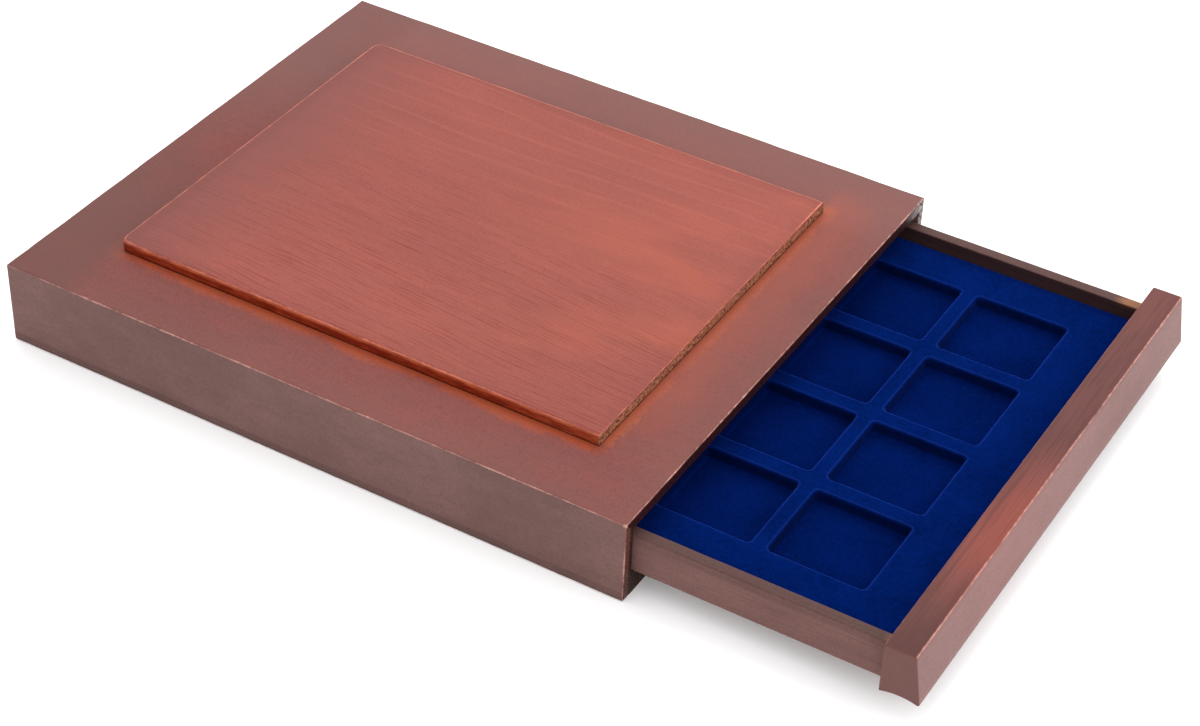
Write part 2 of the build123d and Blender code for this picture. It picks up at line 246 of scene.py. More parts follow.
class Shader:
    """One material and the short words that its node tree is written in."""

    def __init__(self, name):
        self.material = bpy.data.materials.new(name)
        self.material.use_nodes = True
        self.tree = self.material.node_tree
        self.principled = self.tree.nodes["Principled BSDF"]
        source = self.node("ShaderNodeTexCoord", {})
        self.coordinates = source.outputs["Object"]
        self.normal = source.outputs["Normal"]
        split = self.node("ShaderNodeSeparateXYZ", {0: self.coordinates})
        self.x, self.y, self.z = (Value(self, split.outputs[i]) for i in range(3))

    def node(self, kind, inputs, **settings):
        """A new node. inputs gives a value, a socket or a number for each input."""
        node = self.tree.nodes.new(kind)
        for key, value in settings.items():
            setattr(node, key, value)
        for key, item in inputs.items():
            self.feed(item, node.inputs[key])
        return node

    def feed(self, item, socket):
        """Links a value or colour to a socket, or sets the socket to a plain number."""
        if isinstance(item, Value):
            self.tree.links.new(item.socket, socket)
        elif isinstance(item, bpy.types.NodeSocket):
            self.tree.links.new(item, socket)
        else:
            socket.default_value = item

    def vector(self, x, y, z):
        return self.node("ShaderNodeCombineXYZ", {0: x, 1: y, 2: z}).outputs[0]

    def noise(self, vector, scale, detail, roughness, distortion=0.0):
        inputs = {
            "Vector": vector, "Scale": scale, "Detail": detail, "Roughness": roughness,
            "Distortion": distortion,
        }
        return Value(self, self.node("ShaderNodeTexNoise", inputs).outputs["Fac"])

    def mottle(self, scale, detail, roughness):
        """Noise that is the same in all directions."""
        return self.noise(self.coordinates, scale, detail, roughness)

    def grain(self, along, stretch, scale, detail, roughness, distortion=0.0):
        """Noise that is stretched along X or Y, as wood grain is."""
        x, y = self.x, self.y
        if along == "X":
            x = x * (1 / stretch)
        else:
            y = y * (1 / stretch)
        return self.noise(self.vector(x, y, self.z), scale, detail, roughness, distortion)

    def cells(self, vector, scale):
        """Distance to the nearest of many scattered points."""
        node = self.node("ShaderNodeTexVoronoi", {"Vector": vector, "Scale": scale})
        return Value(self, node.outputs["Distance"])

    def mix(self, amount, first, second):
        inputs = {"Factor": amount, "A": first, "B": second}
        return self.node("ShaderNodeMix", inputs, data_type="RGBA").outputs["Result"]

    def darker(self, colour, amount):
        """The colour multiplied by one minus the amount."""
        return self.mix(amount, colour, (0.0, 0.0, 0.0, 1.0))

    def paint(self, amount, colour):
        """Covers the material's colour so far with another, by an amount from 0 to 1."""
        self.colour = self.mix(amount, self.colour, colour)

    def darken(self, amount):
        self.colour = self.darker(self.colour, amount)

    def edge_distance(self, low, high):
        """Distance from a point on a box's surface to the nearest edge of the box."""
        gaps = [
            (value - a).at_most(value.less_from(b))
            for value, a, b in zip((self.x, self.y, self.z), low, high)
        ]
        first, second, third = (abs(g) for g in gaps)
        return first.at_most(second).at_least(first.at_least(second).at_most(third))

    def plan_distance(self, low, high, back_radius):
        """Distance in plan from a rectangle with rounded back corners, negative inside."""
        middle, half = (low + high) / 2, (high - low) / 2
        centre_x = middle[0]
        radius = self.x.smooth(centre_x + 0.01, centre_x - 0.01) * back_radius
        across = abs(self.x - centre_x) - half[0] + radius
        along = abs(self.y - middle[1]) - half[1] + radius
        outside = across.at_least(0.0).hypot(along.at_least(0.0))
        return outside + across.at_least(along).at_most(0.0) - radius

    def facing_up(self):
        """1 where the surface lies level and 0 where it stands upright."""
        split = self.node("ShaderNodeSeparateXYZ", {0: self.normal})
        return abs(Value(self, split.outputs[2]))

    def attribute(self, name):
        node = self.node("ShaderNodeAttribute", {}, attribute_name=name)
        return Value(self, node.outputs["Fac"])

    def bump(self, height, distance, strength, under=None):
        inputs = {"Height": height, "Distance": distance, "Strength": strength}
        if under is not None:
            inputs["Normal"] = under
        return self.node("ShaderNodeBump", inputs).outputs["Normal"]

    def finish(self, roughness, normal, **fixed):
        self.feed(self.colour, self.principled.inputs["Base Color"])
        self.feed(roughness, self.principled.inputs["Roughness"])
        if normal is not None:
            self.feed(normal, self.principled.inputs["Normal"])
        for key, value in fixed.items():
            self.principled.inputs[key.replace("_", " ")].default_value = value
        return self.material

    def lacquer(self, roughness, normal, ior=1.48):
        """Finishes the material as wood under satin lacquer."""
        return self.finish(roughness, normal, IOR=ior, Specular_IOR_Level=LACQUER_SPECULAR)


# ------------------------------------------------------------------ materials

LACQUER_SPECULAR = 0.1
WORN_EDGE = srgb(200, 150, 140)


def lacquered_wood(name, along, deep, body, grain, gloss=0.42, streaky=1.0, dusting=0.22):
    """Stained wood under satin lacquer: mottled stain, fine grain lines and open pores."""
    s = Shader(name)
    clouds = s.grain(along, streaky, 14.0, 3.0, 0.55)
    blotches = s.grain(along, streaky * 2, 95.0, 4.0, 0.65)
    bands = s.grain(along, 16.0, 150.0, 3.0, 0.6, 0.2)
    lines = s.grain(along, 45.0, 1300.0, 2.0, 0.7)
    pores = s.grain(along, 9.0, 3200.0, 1.0, 0.5).smooth(0.64, 0.78)
    peel = s.mottle(850.0, 2.0, 0.55)

    stain = clouds * 0.35 + blotches * 0.35 + bands * (0.3 * grain) + 0.3 * (1 - grain) * 0.5
    s.colour = s.mix(stain.smooth(0.3, 0.72), deep, body)
    s.darken(lines.smooth(0.45, 0.72) * (0.25 * grain))
    s.darken(pores * (0.35 * grain))
    s.darken(peel.smooth(0.45, 0.75) * 0.1)
    motes = s.mottle(1500.0, 3.0, 0.75)
    s.darken(motes.smooth(0.4, 0.7) * dusting)
    roughness = (blotches * 0.6 + peel * 0.4).scaled(gloss - 0.1, gloss + 0.2)
    relief = peel * 0.8 + lines * (0.5 * grain) + pores * (-0.6 * grain)
    normal = s.bump(relief, 0.06 * MM, 0.5)
    return s, roughness, normal


def rub_edge(s, distance, width, pale, amount):
    """Stain rubbed through to pale wood in a thin ragged line along an edge."""
    ragged = s.mottle(330.0, 4.0, 0.7)
    gaps = s.mottle(42.0, 3.0, 0.6).smooth(0.34, 0.56)
    line = (distance + ragged * width).smooth(width * 1.25, width * 0.45)
    s.paint(line * gaps.scaled(0.35, 1.0) * amount, pale)


def sawn_end(s, mask, dark, light, size):
    """Rough open end grain, speckled dark and light. Returns its relief."""
    specks = s.cells(s.coordinates, size).smooth(0.12, 0.6)
    rough = s.mottle(size * 1.3, 3.0, 0.8).smooth(0.36, 0.64)
    s.paint(mask, s.mix(specks * 0.35 + rough * 0.65, dark, light))
    return specks * mask


def case_edges(s):
    return s.edge_distance(CASE_LOW, CASE_HIGH)


def chip_corners(s):
    """Lacquer chipped pale at the top corners of the opening, most on the right."""
    away_z = abs(s.z - CASE_HIGH[2])
    ragged = s.mottle(520.0, 4.0, 0.75)
    face = s.x.smooth(-1.2 * MM, -0.2 * MM)
    reach = s.x.hypot(s.y - CASE_HIGH[1]).hypot(away_z * 0.6)
    chips = (reach + ragged * 0.024).smooth(0.030, 0.014) * ragged.smooth(0.42, 0.58)
    s.paint(chips * face * 0.9, srgb(176, 164, 158))
    reach = s.x.hypot(s.y - CASE_LOW[1]).hypot(away_z)
    nick = (reach + ragged * 0.003).smooth(0.0033, 0.0019)
    s.paint(nick * 0.63, srgb(212, 160, 148))


def rub_front_arris(s):
    """The front edge of the case's top, rubbed to a pale ragged line."""
    away_z = s.z - CASE_HIGH[2]
    rub_edge(s, s.x.hypot(away_z), 0.8 * MM, srgb(206, 152, 140), 0.9)


def make_top_wood():
    s, roughness, normal = lacquered_wood(
        "mahogany_top", "X", srgb(107, 59, 55), srgb(126, 65, 59), grain=0.25
    )
    # Browner and greyer towards the case's outer edges, most of all on the right and behind:
    # a painted reflection of the lamps in the lacquer.
    to_edge = case_edges(s)
    patchy = s.mottle(34.0, 3.0, 0.6)
    s.paint((to_edge + patchy * 0.02).smooth(0.034, 0.004) * 0.35, srgb(104, 71, 65))
    behind = s.x.smooth(-0.245, -0.262)
    reflection_grey = s.y.smooth(0.07, 0.105).at_least(behind * s.y.smooth(-0.01, 0.07))
    s.paint(reflection_grey * 0.33, srgb(114, 87, 83))
    s.darken(behind * 0.1)
    s.paint(behind * s.y.smooth(0.0, -0.07) * 0.6, srgb(92, 61, 57))
    # Orange round the foot of the stacking panel, fuzzy and stippled, mostly on its left and
    # front.
    foot = s.plan_distance(PANEL_LOW, PANEL_HIGH, PANEL_CORNER_RADIUS).at_least(0.0)
    left = (s.y - PANEL_LOW[1]).smooth(0.004, -0.001)
    left = left * (s.x - PANEL_LOW[0]).smooth(-0.003, 0.012)
    front = (s.x - PANEL_HIGH[0]).smooth(-0.004, 0.001)
    fuzz = s.mottle(620.0, 5.0, 0.8)
    patches = s.mottle(46.0, 3.0, 0.6)
    stipple = s.mottle(1300.0, 3.0, 0.8)
    halo = (foot + fuzz * 0.010 + patches * 0.010 - 0.009).smooth(0.0115, 0.0)
    strength = left.at_least(front * 0.75) * 0.9 + 0.1 - left * front * 0.45
    grainy = (halo * 1.3 + stipple * 2.2 - 1.4).smooth(0.0, 0.9)
    orange = s.mix(left, srgb(166, 84, 52), srgb(148, 68, 42))
    s.paint(grainy * strength * halo.smooth(0.0, 0.5), orange)
    s.darken(halo * stipple.smooth(0.5, 0.66) * strength * 0.22)
    warm = (foot + patches * 0.012).smooth(0.034, 0.010) * front
    warm = warm * (s.y - PANEL_LOW[1]).smooth(-0.012, 0.05)
    s.paint(warm * 0.45, srgb(142, 74, 60))
    # A thin painted shadow line at the foot itself, and worn or sawn edges.
    contact_shadow = (foot + fuzz * 0.0016).smooth(0.0013, 0.0005)
    s.darken(contact_shadow * 0.75)
    rub_edge(s, to_edge, 0.9 * MM, WORN_EDGE, 0.9)
    edge_band = s.x.smooth(-0.9 * MM, -0.25 * MM) * s.z.smooth(0.0369, 0.0363)
    relief = sawn_end(s, edge_band, srgb(14, 4, 4), srgb(52, 22, 20), 760.0)
    rub_front_arris(s)
    chip_corners(s)
    normal = s.bump(relief, 0.2 * MM, 0.6, under=normal)
    return s.lacquer(roughness, normal)


def make_panel_wood():
    s, roughness, normal = lacquered_wood(
        "mahogany_panel", "X", srgb(131, 66, 58), srgb(149, 76, 66), grain=0.35, streaky=3.0
    )
    low_x, high_x, top = PANEL_LOW[0], PANEL_HIGH[0], PANEL_HIGH[2]
    # Fine dark growth lines, close together on the left, that run askew and break up.
    bend = s.noise(s.vector(s.x * 7.0, s.y * 10.0, 0.0), 1.0, 2.0, 0.5)
    askew = s.y + s.x * 0.07 + bend * 0.014
    rings = (askew * (2 * math.pi / (1.9 * MM))).sine() * 0.08
    threads = s.noise(s.vector(s.x * 34.0, askew * 900.0, 0.0), 1.0, 2.0, 0.6) + rings
    broken = s.noise(s.vector(s.x * 55.0, askew * 330.0, 0.0), 1.0, 3.0, 0.7)
    reach = s.noise(s.vector(s.x * 9.0, s.y * 30.0, 0.0), 1.0, 2.0, 0.5)
    left = (s.y + reach * 0.06 - 0.03).smooth(0.06, -0.05)
    dark_lines = threads.smooth(0.5, 0.66) * broken.smooth(0.3, 0.52) * left.scaled(0.15, 1.0)
    s.paint(dark_lines * 0.52, srgb(112, 42, 32))
    # A few faint pale streaks on the right, and warmer wood towards the front.
    drift = s.noise(s.vector(s.x * 5.0, s.y * 14.0, 0.0), 1.0, 2.0, 0.5)
    figure = (s.y * 620.0 + s.x * 9.0 + drift * 16.0).sine().smooth(0.82, 1.0)
    right = s.y.smooth(0.0, 0.06)
    s.paint(figure * right * broken.scaled(0.0, 0.22), srgb(178, 100, 80))
    warm = s.noise(s.vector(s.x * 9.0, s.y * 24.0, 0.0), 1.0, 3.0, 0.55)
    front = s.x.smooth(low_x + 0.08, high_x)
    s.paint(warm.smooth(0.4, 0.7) * front * 0.5, srgb(166, 84, 58))
    back = s.x.smooth(low_x + 0.06, low_x - 0.01)
    s.paint(back * 0.7, srgb(106, 63, 60))

    # A pale ragged line where the edge turns down, a painted highlight; streaky orange stain under
    # it, and deep stain from there to the foot, thinner towards the front.
    line_high = PANEL_HIGH + np.array((0.5 * MM, 0.0, 0.0))
    inside = -s.plan_distance(PANEL_LOW, line_high, PANEL_CORNER_RADIUS)
    ragged = s.mottle(360.0, 4.0, 0.75)
    s.darken(inside.smooth(0.009, 0.002) * 0.08)
    gaps = s.mottle(75.0, 4.0, 0.75).smooth(0.38, 0.6).scaled(0.3, 1.0)
    # A painted highlight along the edge, wider on the right and behind.
    pale = abs(inside + ragged * (1.0 * MM) - 0.9 * MM).smooth(0.45 * MM, 0.1 * MM)
    wide = abs(inside + ragged * (0.6 * MM) - 0.9 * MM).smooth(0.75 * MM, 0.25 * MM)
    far = s.y.smooth(0.06, 0.08).at_least(s.x.smooth(low_x + 0.02, low_x + 0.01) * 0.6)
    pale = pale.at_least(wide * far)
    s.paint(pale * gaps * s.facing_up() * 0.85, srgb(206, 122, 98))
    down = s.z * -1.0 + top
    side = (down + ragged * (0.4 * MM)).smooth(0.5 * MM, 1.1 * MM)
    runs = s.grain("X", 7.0, 800.0, 3.0, 0.7)
    stained = s.mix(runs.smooth(0.34, 0.66), srgb(132, 52, 28), srgb(184, 92, 60))
    s.paint(side * 0.95, stained)
    deep = (down + ragged * (0.7 * MM) + runs * (0.9 * MM)).smooth(1.5 * MM, 3.0 * MM)
    thin = s.x.smooth(high_x, high_x - 0.05).scaled(0.55, 0.92)
    stained = s.mix(runs.smooth(0.4, 0.7), srgb(100, 24, 6), srgb(134, 44, 20))
    s.paint(deep * thin, stained)
    sawn = s.x.smooth(high_x - 0.5 * MM, high_x - 0.15 * MM) * side
    relief = sawn_end(s, sawn, srgb(22, 8, 4), srgb(170, 110, 84), 700.0)
    # A painted shadow along the foot of the panel's sides.
    gap = s.z.smooth(PANEL_LOW[2] + 0.6 * MM, PANEL_LOW[2] + 0.2 * MM)
    s.darken(gap * 0.85)
    normal = s.bump(relief, 0.45 * MM, 0.9, under=normal)
    return s.lacquer(roughness, normal)


def make_side_wood():
    s, roughness, normal = lacquered_wood(
        "mahogany_side", "X", srgb(97, 71, 67), srgb(118, 87, 83), grain=0.2, gloss=0.48,
        dusting=0.1,
    )
    speckle = s.mottle(1500.0, 3.0, 0.7).smooth(0.5, 0.75)
    s.darken(speckle * 0.1)
    uneven = s.grain("X", 6.0, 300.0, 3.0, 0.6)
    s.darken((s.z + uneven * 0.001).smooth(0.0050, 0.0043) * 0.2)
    s.darken(s.z.smooth(0.002, 0.0004) * 0.3)
    # The sawn ends round the opening are rough, dark and reddish.
    opening = s.x.smooth(-0.7 * MM, -0.2 * MM)
    relief = sawn_end(s, opening, srgb(32, 14, 11), srgb(96, 60, 51), 820.0)
    # A painted shadow darkens the inner edge of each wall's end, beside the drawer's side.
    arris = (abs(s.y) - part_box("side_wall_right")[0][1]).smooth(0.0022, 0.0010)
    s.darken(arris * opening * 0.7)
    # Pale specks on the sawn ends are painted glints.
    painted_glints = s.mottle(640.0, 4.0, 0.8).smooth(0.62, 0.7)
    s.paint(painted_glints * opening * 0.3, srgb(150, 124, 108))
    rub_edge(s, case_edges(s), 0.9 * MM, WORN_EDGE, 0.9)
    rub_front_arris(s)
    chip_corners(s)
    normal = s.bump(relief, 0.3 * MM, 0.7, under=normal)
    return s.lacquer(roughness, normal)


def make_front_wood():
    s, roughness, normal = lacquered_wood(
        "mahogany_front", "Y", srgb(118, 88, 85), srgb(138, 104, 101), grain=0.3
    )
    inner, top = FRONT_LOW[0], FRONT_HIGH[2]
    brow = inner + FRONT_TOP_THICKNESS
    # The top is redder and darker than the front face, in long patches.
    up = s.facing_up()
    patchy = s.grain("Y", 5.0, 62.0, 3.0, 0.6)
    streaks = s.grain("Y", 30.0, 640.0, 3.0, 0.65)
    stain = s.mix(patchy.smooth(0.36, 0.62), srgb(84, 48, 46), srgb(98, 56, 52))
    across = (s.x - inner) * (1 / FRONT_TOP_THICKNESS)
    redder = (abs(s.y + 0.045) + patchy * 0.04).smooth(0.085, 0.02)
    redder = redder * (across + patchy * 0.8).smooth(0.3, 0.9).scaled(0.35, 1.0)
    stain = s.mix(redder * 0.7, stain, srgb(136, 64, 52))
    stain = s.darker(stain, streaks.smooth(0.45, 0.7) * 0.28)
    stain = s.darker(stain, s.y.smooth(-0.07, -0.12) * 0.3)
    s.paint(up * 0.97, stain)
    near = (s.x - brow).hypot(s.z - top)
    near = near.at_most((s.x - inner).hypot(s.z - top) + 0.25 * MM)
    ends = (abs(s.y) - FRONT_HIGH[1]) * -1.0
    near = near.at_most(ends.hypot(s.x - FRONT_HIGH[0]) + 0.1 * MM)
    near = near.at_most(ends.hypot(s.z - top) + 0.3 * MM)
    rub_edge(s, near, 0.85 * MM, srgb(206, 148, 134), 0.85)
    end_face = ends.smooth(0.5 * MM, 0.1 * MM)
    s.paint(end_face * 0.8, srgb(94, 62, 58))
    # Painted shade: darker along the bottom of the front and in the hollow under it.
    s.darken(s.z.smooth(0.0125, 0.0105) * 0.3)
    return s.lacquer(roughness, normal)


def make_drawer_wood():
    s, roughness, normal = lacquered_wood(
        "drawer_wood", "X", srgb(104, 74, 70), srgb(121, 88, 84), grain=0.6, gloss=0.5
    )
    top = FAR_SIDE_HIGH[2]
    up = s.facing_up()
    s.darken(up * 0.35)
    inner = (abs(s.y) - FAR_SIDE_LOW[1]).smooth(0.0006, -0.0002)
    s.paint(inner * 0.95, srgb(19, 8, 12))
    ragged = s.grain("X", 8.0, 300.0, 3.0, 0.6)
    band = (s.z * -1.0 + top + ragged * 0.001).smooth(4.2 * MM, 3.6 * MM)
    s.darken(band * 0.16)
    right = s.y.smooth(0.0, 0.01)
    bare_length = right.scaled(0.002, 0.012)
    bare = s.x - FAR_SIDE_HIGH[0] + ragged * bare_length + bare_length * 0.3
    s.paint(bare.smooth(-0.003, 0.004) * up * 0.85, srgb(140, 96, 70))
    line = abs(s.z - top).hypot((abs(s.y) - FAR_SIDE_LOW[1]).at_least(0.0) * 0.5)
    rub_edge(s, line, 0.4 * MM, srgb(150, 112, 98), 0.35)
    return s.lacquer(roughness, normal, ior=1.45)


def make_base_wood():
    s, roughness, normal = lacquered_wood(
        "mahogany_base", "X", srgb(70, 46, 40), srgb(94, 64, 55), grain=0.9, gloss=0.6
    )
    return s.lacquer(roughness, normal, ior=1.45)


def make_plywood():
    s = Shader("plywood")
    figure = s.grain("X", 9.0, 55.0, 4.0, 0.6, 0.6)
    lines = s.grain("X", 30.0, 700.0, 2.0, 0.7)
    s.colour = s.mix(figure.smooth(0.3, 0.75), srgb(84, 54, 40), srgb(120, 82, 60))
    s.darken(lines.smooth(0.45, 0.7) * 0.3)
    plies = (s.z * (2 * math.pi / (1.3 * MM))).sine().smooth(-0.3, 0.5)
    side = s.facing_up().less_from(1.0)
    s.darken(plies * side * 0.4)
    normal = s.bump(lines + figure * 0.5, 0.08 * MM, 0.5)
    return s.finish(lines.scaled(0.55, 0.75), normal, IOR=1.45, Specular_IOR_Level=0.3)


def make_beech():
    s = Shader("beech")
    lines = s.grain("X", 12.0, 900.0, 3.0, 0.7)
    flecks = s.grain("X", 5.0, 2200.0, 1.0, 0.5).smooth(0.6, 0.75)
    s.colour = s.mix(lines, srgb(160, 116, 78), srgb(196, 158, 116))
    s.darken(flecks * 0.25)
    normal = s.bump(lines, 0.05 * MM, 0.5)
    return s.finish(lines.scaled(0.5, 0.7), normal, IOR=1.45, Specular_IOR_Level=0.3)


def make_steel():
    s = Shader("brad_steel")
    drawn = s.mottle(2500.0, 2.0, 0.6)
    s.colour = s.mix(drawn, srgb(150, 150, 150), srgb(196, 194, 190))
    normal = s.bump(drawn, 0.02 * MM, 0.4)
    return s.finish(drawn.scaled(0.25, 0.45), normal, Metallic=1.0)


def make_flock():
    s = Shader("blue_flock")
    pile = s.mottle(1900.0, 4.0, 0.8)
    tufts = s.mottle(600.0, 4.0, 0.7)
    nap = s.mottle(42.0, 3.0, 0.6)
    shade = pile * 0.45 + tufts * 0.3 + nap * 0.25
    s.colour = s.mix(shade.smooth(0.34, 0.66), srgb(0, 12, 52), srgb(2, 23, 85))
    # Painted light: the upper surfaces are a lighter blue than the pocket floors, which lie in
    # shade.
    lit_tops = s.z.smooth(TRAY_HIGH[2] - 2.0 * MM, TRAY_HIGH[2] - 0.3 * MM)
    s.paint(lit_tops * shade.smooth(0.3, 0.6) * 0.4, srgb(2, 30, 96))
    # The steep walls are darker, partly from thinner pile and partly as painted shade; the rims
    # get a painted sheen highlight.
    steep = s.facing_up().less_from(1.0)
    s.paint(steep.smooth(0.35, 0.9) * 0.6, srgb(3, 8, 32))
    fray = s.mottle(1500.0, 4.0, 0.8)
    rim_sheen = (s.attribute("rim") + fray * 0.7 - 0.35).smooth(0.36, 0.84)
    rim_sheen = rim_sheen * s.facing_up().smooth(0.0, 0.4)
    s.paint(rim_sheen * 0.2, srgb(30, 54, 140))
    trimmed = s.plan_distance(TRAY_LOW, TRAY_HIGH, 0.0).smooth(-0.7 * MM, -0.3 * MM)
    trimmed = trimmed * s.z.smooth(TRAY_HIGH[2] - 1.2 * MM, TRAY_HIGH[2] - 0.6 * MM)
    s.paint(trimmed * fray.smooth(0.3, 0.6) * 0.6, srgb(96, 74, 112))
    level = s.facing_up().smooth(0.1, 0.9)
    normal = s.bump(pile, 0.3 * MM, level.scaled(0.12, 0.6))
    normal = s.bump(tufts, 0.4 * MM, level.scaled(0.05, 0.3), under=normal)
    return s.finish(
        1.0, normal,
        Sheen_Weight=0.8, Sheen_Roughness=0.26, Sheen_Tint=srgb(64, 104, 255),
        Specular_IOR_Level=0.0,
    )


def make_floor_material():
    s = Shader("studio_floor")
    paper = s.mottle(900.0, 2.0, 0.5)
    s.colour = s.mix(paper, srgb(243, 243, 244), srgb(246, 246, 247))
    return s.finish(
        0.9, None, Specular_IOR_Level=0.1,
        Emission_Color=(1.0, 1.0, 1.0, 1.0), Emission_Strength=0.14,
    )


# ------------------------------------------------------------------ mesh helpers


def even_stops(low, high, pitch):
    count = max(1, round((high - low) / pitch))
    return [low + (high - low) * i / count for i in range(count + 1)]


def board_stops(low, high, radius, pitch):
    """Grid lines along one side of a board, close together where its edges are rounded."""
    bend = sorted(radius * (1 - math.tan(a)) for a in ROUND_ANGLES)
    support = radius * 1.4
    inner = even_stops(low + support, high - support, pitch)
    return [low + b for b in bend] + inner + [high - b for b in reversed(bend)]


def board_grid(low, high, radius, pitch):
    """Points and quads of the closed surface of a board, on a grid that suits its edges."""
    xs, ys, zs = (board_stops(low[a], high[a], radius, pitch) for a in range(3))
    points, faces, index = [], [], {}

    def corner(i, j, k):
        if (i, j, k) not in index:
            index[i, j, k] = len(points)
            points.append((xs[i], ys[j], zs[k]))
        return index[i, j, k]

    last = (len(xs) - 1, len(ys) - 1, len(zs) - 1)
    for axis in range(3):
        u, v = (axis + 1) % 3, (axis + 2) % 3
        for end in (0, last[axis]):
            for a in range(last[u]):
                for b in range(last[v]):
                    ring = []
                    for da, db in ((0, 0), (1, 0), (1, 1), (0, 1)):
                        key = [0, 0, 0]
                        key[axis], key[u], key[v] = end, a + da, b + db
                        ring.append(corner(*key))
                    faces.append(ring if end else ring[::-1])
    return np.array(points), faces


def rounded(points, low, high, radius):
    """Moves points that stand outside the rounded box onto it."""
    core = np.clip(points, low + radius, high - radius)
    out = points - core
    reach = np.linalg.norm(out, axis=1)
    far = reach > radius
    points = points.copy()
    points[far] = core[far] + out[far] * (radius / reach[far])[:, None]
    return points


def waved(points, low, high, radius):
    """Presses the rounded edges in a little, unevenly, as handling does."""
    core = np.clip(points, low + radius, high - radius)
    out = points - core
    on_edge = (np.abs(out) > 1e-7).sum(axis=1) >= 2
    points = points.copy()
    for i in np.nonzero(on_edge)[0]:
        spot = Vector(points[i])
        slow = noise.noise(spot * 90.0 + Vector((WAVE_SEED, 0, 0)))
        quick = noise.noise(spot * 420.0 + Vector((0, WAVE_SEED, 0)))
        push = max(0.0, 0.35 + slow * 0.9 + quick * 0.5) * EDGE_WAVE
        reach = np.linalg.norm(out[i])
        points[i] -= out[i] / max(reach, 1e-9) * push * min(1.0, reach / radius)
    return points


def make_piece(name, points, faces, body, material, nodes):
    """A mesh object that rides on a body and stands in for CAD nodes."""
    mesh = bpy.data.meshes.new(name)
    mesh.from_pydata([tuple(p) for p in points], [], faces)
    mesh.update()
    work = bmesh.new()
    work.from_mesh(mesh)
    # Corners where a rounding has drawn several points into one become a single point.
    bmesh.ops.remove_doubles(work, verts=work.verts, dist=WELD_DISTANCE)
    bmesh.ops.recalc_face_normals(work, faces=work.faces)
    work.to_mesh(mesh)
    work.free()
    # The sawn ends of a swept board are single flat faces.
    mesh.polygons.foreach_set("use_smooth", [len(f.vertices) <= 4 for f in mesh.polygons])
    mesh.set_sharp_from_angle(angle=SHARP_ANGLE)
    mesh.materials.append(material)
    piece = add_object(name, mesh)
    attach(piece, body)
    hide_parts(*nodes)


def mitred(points, low, high, outer_axis, outer_high, ends):
    """Leans the ends of a board back at 45 degrees from its outer face.

    ends lists (axis, at the high end) for each mitred end.
    """
    points = points.copy()
    outer = high[outer_axis] if outer_high else low[outer_axis]
    depth = np.abs(points[:, outer_axis] - outer)
    for axis, at_high in ends:
        length = high[axis] - low[axis]
        share = (points[:, axis] - low[axis]) / length
        if not at_high:
            share = 1 - share
        points[:, axis] += (-1 if at_high else 1) * depth * share
    return points


def sweep(section, axis, stations, insets):
    """Points and faces of a closed section carried along Y or X, with capped ends.

    section is a list of (a, z) pairs; insets shrink the section at each station.
    """
    count = len(section)
    loop = np.array(section)
    before, after = np.roll(loop, 1, axis=0), np.roll(loop, -1, axis=0)
    run = after - before
    inward = np.stack([-run[:, 1], run[:, 0]], axis=1)
    inward /= np.linalg.norm(inward, axis=1)[:, None]
    area = np.sum(loop[:, 0] * after[:, 1] - after[:, 0] * loop[:, 1])
    if area < 0:
        inward = -inward
    points, faces = [], []
    for place, inset in zip(stations, insets):
        for a, z in loop + inward * inset:
            points.append((place, a, z) if axis == "X" else (a, place, z))
    for r in range(len(stations) - 1):
        for i in range(count):
            j = (i + 1) % count
            faces.append((r * count + i, r * count + j, (r + 1) * count + j, (r + 1) * count + i))
    faces.append(tuple(range(count)))
    faces.append(tuple(range((len(stations) - 1) * count, len(stations) * count)))
    return np.array(points), faces


def rounded_section(corners, pitch):
    """A closed outline from (a, z, radius) corners, with round corners and short steps."""
    outline = []
    total = len(corners)
    for i, (a, z, radius) in enumerate(corners):
        here = Vector((a, z))
        back = (Vector(corners[i - 1][:2]) - here).normalized()
        ahead = (Vector(corners[(i + 1) % total][:2]) - here).normalized()
        if radius == 0:
            outline.append(here)
            continue
        half = back.angle(ahead) / 2
        centre = here + (back + ahead).normalized() * (radius / math.sin(half))
        start = here + back * (radius / math.tan(half))
        end = here + ahead * (radius / math.tan(half))
        turn = (start - centre).angle_signed(end - centre)
        for k in range(CORNER_STEPS + 1):
            arm = start - centre
            angle = -turn * k / CORNER_STEPS
            spin = (
                arm.x * math.cos(angle) - arm.y * math.sin(angle),
                arm.x * math.sin(angle) + arm.y * math.cos(angle),
            )
            outline.append(centre + Vector(spin))
    filled = []
    for i, point in enumerate(outline):
        follow = outline[(i + 1) % len(outline)]
        steps = max(1, round((follow - point).length / pitch))
        filled += [tuple(point.lerp(follow, k / steps)) for k in range(steps)]
    return filled


def end_stations(low, high, radius, pitch):
    """Places along a sweep and how far the section shrinks there, to round both ends."""
    quarter = [k * math.pi / 2 / CORNER_STEPS for k in range(CORNER_STEPS + 1)]
    start = [(low + radius * (1 - math.sin(a)), radius * (1 - math.cos(a))) for a in quarter]
    start = sorted(start)
    middle = [(p, 0.0) for p in even_stops(low + radius * 1.4, high - radius * 1.4, pitch)]
    end = [(low + high - p, inset) for p, inset in reversed(start)]
    return zip(*(start + middle + end))


# ------------------------------------------------------------------ the case


